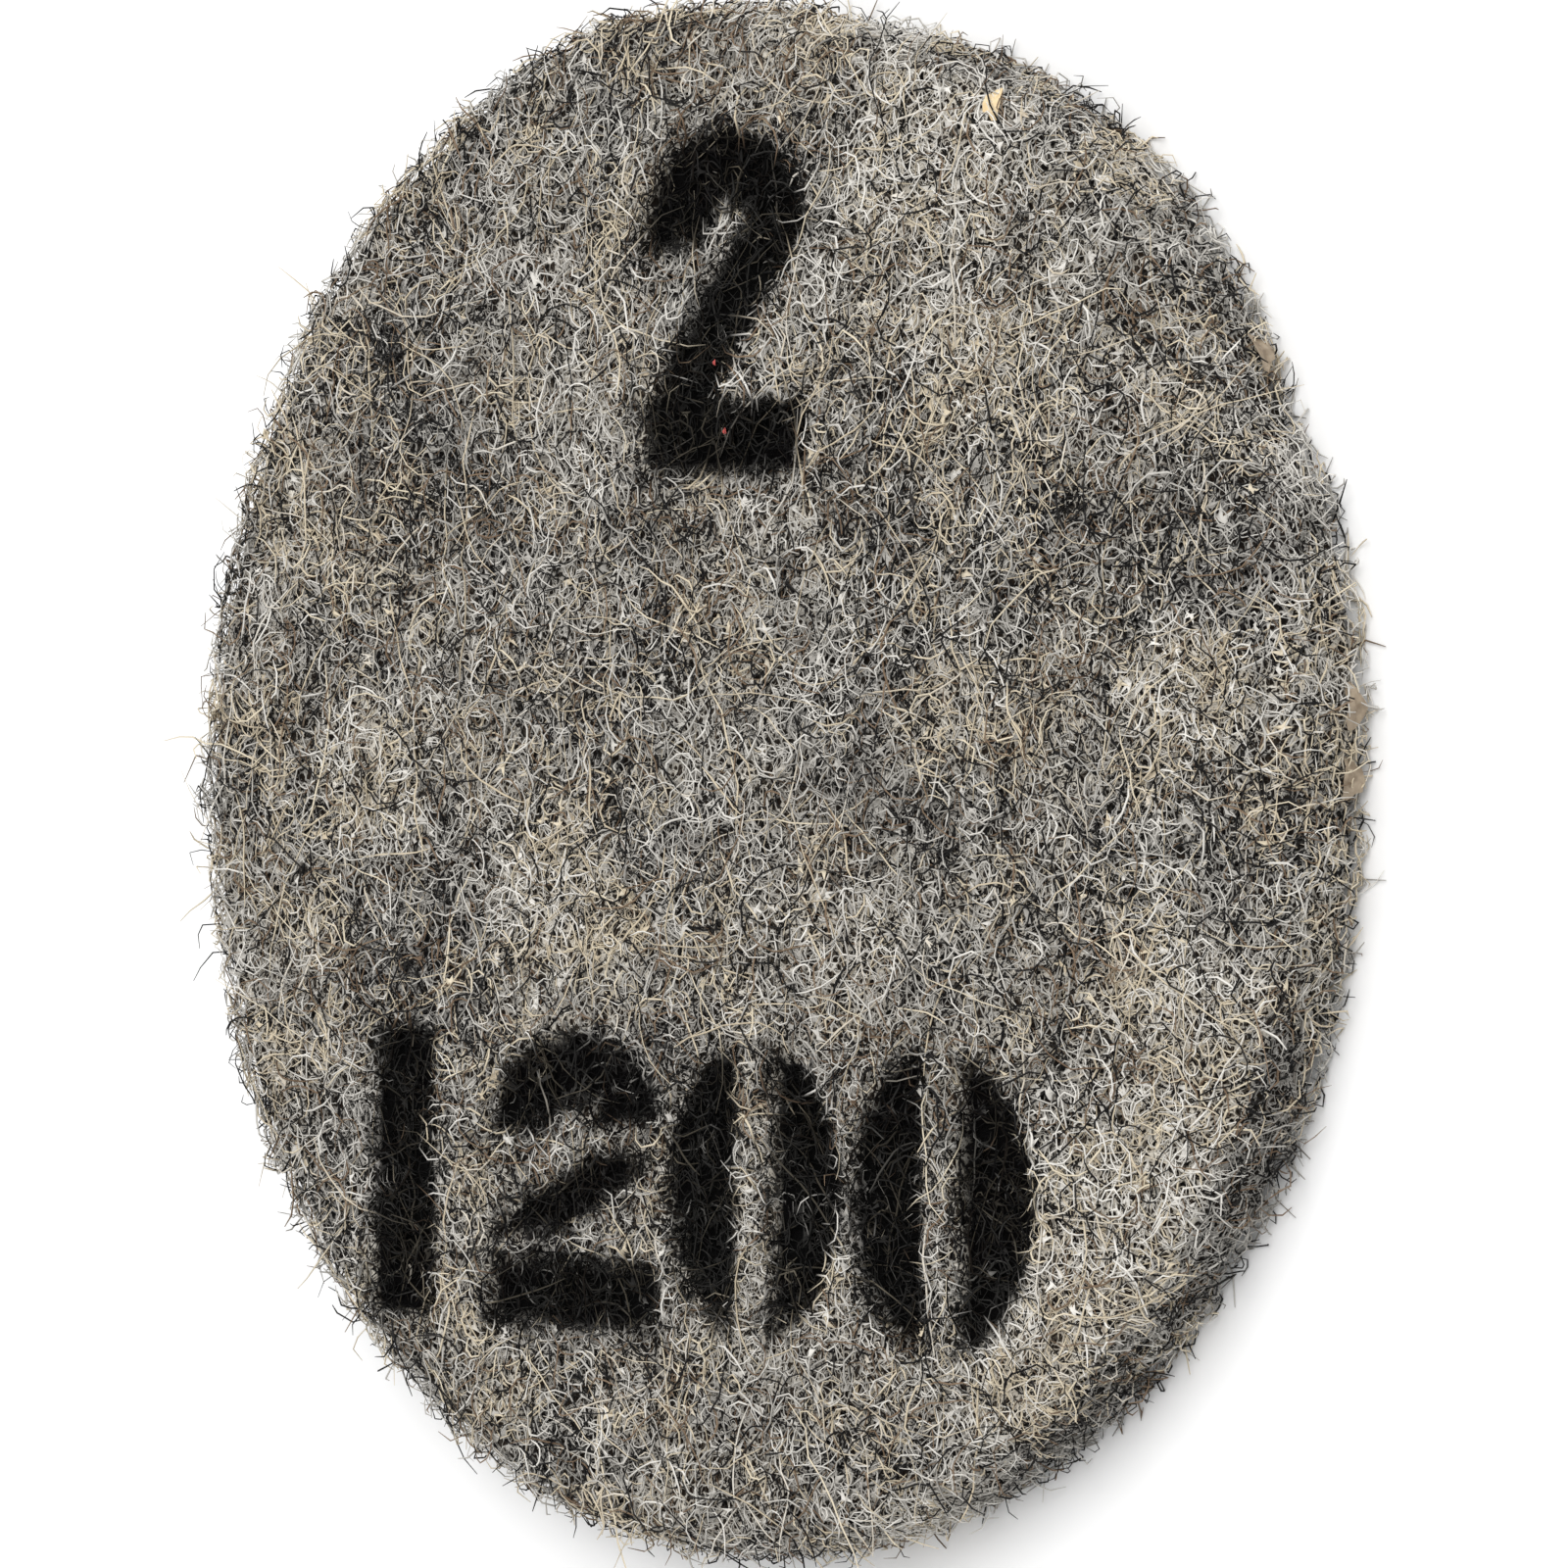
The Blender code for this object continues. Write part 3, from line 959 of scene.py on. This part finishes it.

# %% [markdown]
# ## Hair of the face
#
# Low hairs are darker, a painted shade for their depth in the web, and lie close over the gaps of the
# core.
# High ones are paler, and fine short ones fill in between them. The curliest make the small loops that
# stand out all over the pad.

# %% Face hair
WEB = 0.095 * MM
FINE = 0.075 * MM
# The low web's darker shades and larger share of black hair are painted shade for its depth.
grow("face_web_low", FACE_WAY, Strands=2800, Points=5, Length_Low=1.4 * MM, Length_High=4.0 * MM,
     Thickness=WEB, Deepest=-0.28 * MM, Highest=-0.08 * MM, Curl_Low=0.8, Curl_High=4.2, Arch_Low=0.0,
     Arch_High=0.06, Rise_Low=-0.10, Rise_High=0.10, Shade_Low=0.26, Shade_High=0.46, Straw_Share=0.10,
     Dark_Share=0.44, Clouding=0.7, Seed=11)
grow("face_web_high", FACE_WAY, Strands=6800, Points=5, Length_Low=1.4 * MM, Length_High=4.0 * MM,
     Thickness=WEB, Deepest=-0.15 * MM, Highest=0.10 * MM, Curl_Low=0.8, Curl_High=4.2, Arch_Low=0.0,
     Arch_High=0.10, Rise_Low=-0.20, Rise_High=0.20, Shade_Low=0.45, Shade_High=0.78, Straw_Share=0.18,
     Dark_Share=0.20, Clouding=0.6, Seed=23)
grow("face_web_fine", FACE_WAY, Strands=6000, Points=4, Length_Low=0.7 * MM, Length_High=1.9 * MM,
     Thickness=FINE, Deepest=-0.15 * MM, Highest=0.16 * MM, Curl_Low=0.8, Curl_High=3.4, Rise_Low=-0.3,
     Rise_High=0.3, Shade_Low=0.50, Shade_High=0.76, Straw_Share=0.18, Dark_Share=0.12,
     Clouding=0.6, Seed=31)
grow("curly_hair", FACE_WAY, Strands=2200, Points=9, Length_Low=1.8 * MM, Length_High=4.2 * MM,
     Thickness=FINE, Deepest=-0.10 * MM, Highest=0.2 * MM, Curl_Low=3.0, Curl_High=7.0, Arch_Low=-0.01,
     Arch_High=0.04, Rise_Low=-0.3, Rise_High=0.3, Wobble=0.8 * MM, Shade_Low=0.50, Shade_High=0.76,
     Straw_Share=0.12, Dark_Share=0.22, Clouding=0.5, Seed=37)

# %% [markdown]
# ## Films
#
# The films lie among the upper hairs, on the face and on the rim, and share the hair's colours and ink.

# %% Resin films
FILMS = {"tree": film_tree, "finish": dried_resin, "slot": "resin_film"}
grow("face_films", FACE_WAY, **FILMS, Strands=4600, Length_Low=0.45 * MM, Length_High=1.35 * MM,
     Deepest=-0.16 * MM, Highest=0.06 * MM, Shade_Low=0.46, Shade_High=0.68, Straw_Share=0.16,
     Dark_Share=-0.1, Clouding=0.5, Seed=83)
# Negative Patches darken these films on the rim low on the right: partly their real colour, partly painted
# shade.
grow("rim_films", RIM_WAY, **FILMS, Strands=900, Length_Low=0.45 * MM, Length_High=1.1 * MM,
     Deepest=-0.08 * MM, Highest=0.03 * MM, Shade_Low=0.42, Shade_High=0.66, Straw_Share=0.30,
     Dark_Share=0.0, Clouding=0.5, Patches=-0.5, Seed=89)

# %% [markdown]
# ## Black hair
#
# Black hairs lie on top of the pale web. They are thin, long and curly, and wander more than the rest.

# %% Black hair
grow("black_hair", FACE_WAY, Strands=2000, Points=8, Length_Low=2.0 * MM, Length_High=7.5 * MM,
     Thickness=0.085 * MM, Deepest=-0.10 * MM, Highest=0.24 * MM, Curl_Low=0.8, Curl_High=5.0,
     Arch_Low=-0.02, Arch_High=0.03, Rise_Low=-0.06, Rise_High=0.06, Wobble=0.9 * MM, Dark_Share=2.0,
     Clouding=0.0, Patches=0.0, Seed=47)

# %% [markdown]
# ## Straw hair
#
# Straw-coloured hairs run almost straight over everything, with up to nine and a half millimetres of each
# in view. The ink takes a little less on them, so they cross the figures as dark grey lines.

# %% Straw hair
grow("long_straw", FACE_WAY, Strands=680, Points=8, Length_Low=3.0 * MM, Length_High=9.5 * MM,
     Thickness=0.085 * MM, Deepest=-0.05 * MM, Highest=0.26 * MM, Curl_Low=0.10, Curl_High=1.4,
     Arch_Low=-0.02, Arch_High=0.02, Rise_Low=-0.03, Rise_High=0.03, Wobble=0.6 * MM, Across=1.0,
     Straw_Share=2.0, Dark_Share=0.0, Clouding=0.0, Patches=0.0, Ink=0.95, Seed=53)

# %% [markdown]
# ## Rim and back
#
# The die has cut the hairs at the rim, so they end there as short hooks that stand out. More of them are
# black than on the face. The back is pressed flatter, and needs fewer strands because it lies down.

# %% Rim and back
# Negative Patches make the rim darker where the face's pale patches reach it, most of all low on the
# right: partly more black hair, partly painted shade.
grow("rim_web", RIM_WAY, Strands=5000, Points=4, Length_Low=0.8 * MM, Length_High=2.4 * MM,
     Thickness=WEB, Deepest=-0.25 * MM, Highest=0.10 * MM, Curl_Low=1.0, Curl_High=4.0, Rise_Low=-0.5,
     Rise_High=0.5, Across=1.0, Shade_Low=0.50, Shade_High=0.76, Straw_Share=0.26, Dark_Share=0.14,
     Clouding=0.8, Patches=-0.4, Seed=61)
grow("rim_ends", RIM_WAY, Strands=4900, Points=4, Length_Low=0.5 * MM, Length_High=2.3 * MM,
     Thickness=0.080 * MM, Deepest=-0.20 * MM, Highest=0.0 * MM, Curl_Low=1.4, Curl_High=4.4, Rise_Low=0.5,
     Rise_High=1.3, Anchor=0.0, Wobble=0.6 * MM, Across=1.0, Shade_Low=0.48, Shade_High=0.76,
     Straw_Share=0.18, Dark_Share=0.42, Clouding=0.5, Patches=-0.6, Seed=67)
grow("back_web", BACK_WAY, Strands=4000, Points=4, Length_Low=1.6 * MM, Length_High=4.4 * MM,
     Thickness=WEB, Deepest=-0.30 * MM, Highest=-0.05 * MM, Curl_Low=0.6, Curl_High=3.2, Arch_Low=-0.02,
     Arch_High=0.02, Rise_Low=-0.05, Rise_High=0.05, Across=1.0, Shade_Low=0.28, Shade_High=0.74,
     Straw_Share=0.2, Dark_Share=0.2, Clouding=0.6, Patches=0.0, Seed=71)

# %% [markdown]
# ## Large flakes
#
# A few flakes are large enough to be seen one by one: an amber one near the top of the face's edge, brown
# ones low on the right of the rim, and two red grains on the ink of the upper figure. Each is an uneven
# disc of two thin fans, bent along its length, with a mottled colour.

# %% Large flakes
FLAKE_CORNERS = 12
FLAKE_THICKNESS = 0.06 * MM
FLAKE_LIFT = 0.16 * MM
FLAKE_DIP = 0.25
FLAKE_GRAIN = 1800.0
AMBER = ((0.62, 0.46, 0.25), (0.74, 0.60, 0.38))
BROWN = ((0.17, 0.125, 0.080), (0.32, 0.255, 0.180))
RED = ((0.20, 0.016, 0.014), (0.42, 0.050, 0.042))
FLAKES = (
    ("amber_flake", (18.8, 31.0, 5.6), (0.15, 0.25, 0.95), 0.75, 0.50, AMBER),
    ("brown_flake_a", (31.95, 19.3, 1.5), (0.85, 0.52, 0.0), 0.95, 0.60, BROWN),
    ("brown_flake_b", (37.5, 3.1, 1.3), (0.99, 0.08, 0.10), 1.10, 0.60, BROWN),
    ("brown_flake_c", (37.3, -0.2, 1.2), (0.99, -0.03, 0.10), 0.95, 0.65, BROWN),
    ("red_grain_a", (0.4, 19.6, 5.55), (0.0, 0.0, 1.0), 0.14, 0.10, RED),
    ("red_grain_b", (0.9, 16.3, 5.3), (0.0, 0.0, 1.0), 0.16, 0.12, RED),
)


def flake_material(name, dark, light):
    """A mottled film between two tones."""
    material = plain_material(name, light, RESIN_ROUGHNESS)
    tree = material.node_tree
    place = Field(tree, tree.nodes.new("ShaderNodeTexCoord").outputs["Object"])
    mottled = colour_ramp(noise(place, FLAKE_GRAIN, 3.0), ((0.35, dark), (0.65, light)))
    feed(tree, tree.nodes["Principled BSDF"].inputs["Base Color"], mottled)
    return material


def make_flake(name, place, normal, half_length, half_width, tones):
    """One large flake, its length lying along Y as far as its normal lets it."""
    up = Vector(normal).normalized()
    helper = Vector((1.0, 0.0, 0.0)) if abs(up.x) < 0.7 else Vector((0.0, 0.0, 1.0))
    long_way = up.cross(helper).normalized()
    wide_way = long_way.cross(up)
    middle = Vector(place) * MM + up * FLAKE_LIFT
    shape = bmesh.new()
    corners = []
    for i in range(FLAKE_CORNERS):
        turn = 2 * math.pi * i / FLAKE_CORNERS
        reach = 1.0 + 0.20 * math.sin(3 * turn + place[0]) + 0.12 * math.sin(5 * turn + place[1])
        along = reach * half_length * MM * math.cos(turn)
        aside = reach * half_width * MM * math.sin(turn)
        dip = FLAKE_DIP * along**2 / (half_length * MM)
        corners.append(shape.verts.new(middle + along * long_way + aside * wide_way - dip * up))
    top = shape.verts.new(middle + FLAKE_THICKNESS / 2 * up)
    bottom = shape.verts.new(middle - FLAKE_THICKNESS / 2 * up)
    for i in range(FLAKE_CORNERS):
        shape.faces.new((corners[i - 1], corners[i], top))
        shape.faces.new((corners[i], corners[i - 1], bottom))
    bmesh.ops.recalc_face_normals(shape, faces=shape.faces)
    mesh = bpy.data.meshes.new(name)
    shape.to_mesh(mesh)
    shape.free()
    mesh.materials.append(flake_material(name, *tones))
    flake = bpy.data.objects.new(name, mesh)
    bpy.context.scene.collection.objects.link(flake)
    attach(flake, "root")
    return flake


for flake in FLAKES:
    make_flake(*flake)
print("large flakes:", len(FLAKES))

# %% [markdown]
# ## The end
#
# The ink fields only guided where the ink goes, so they are taken out. The visual model has to stay
# near the solid's box.

# %% Finish
bpy.data.objects.remove(ink_fields)
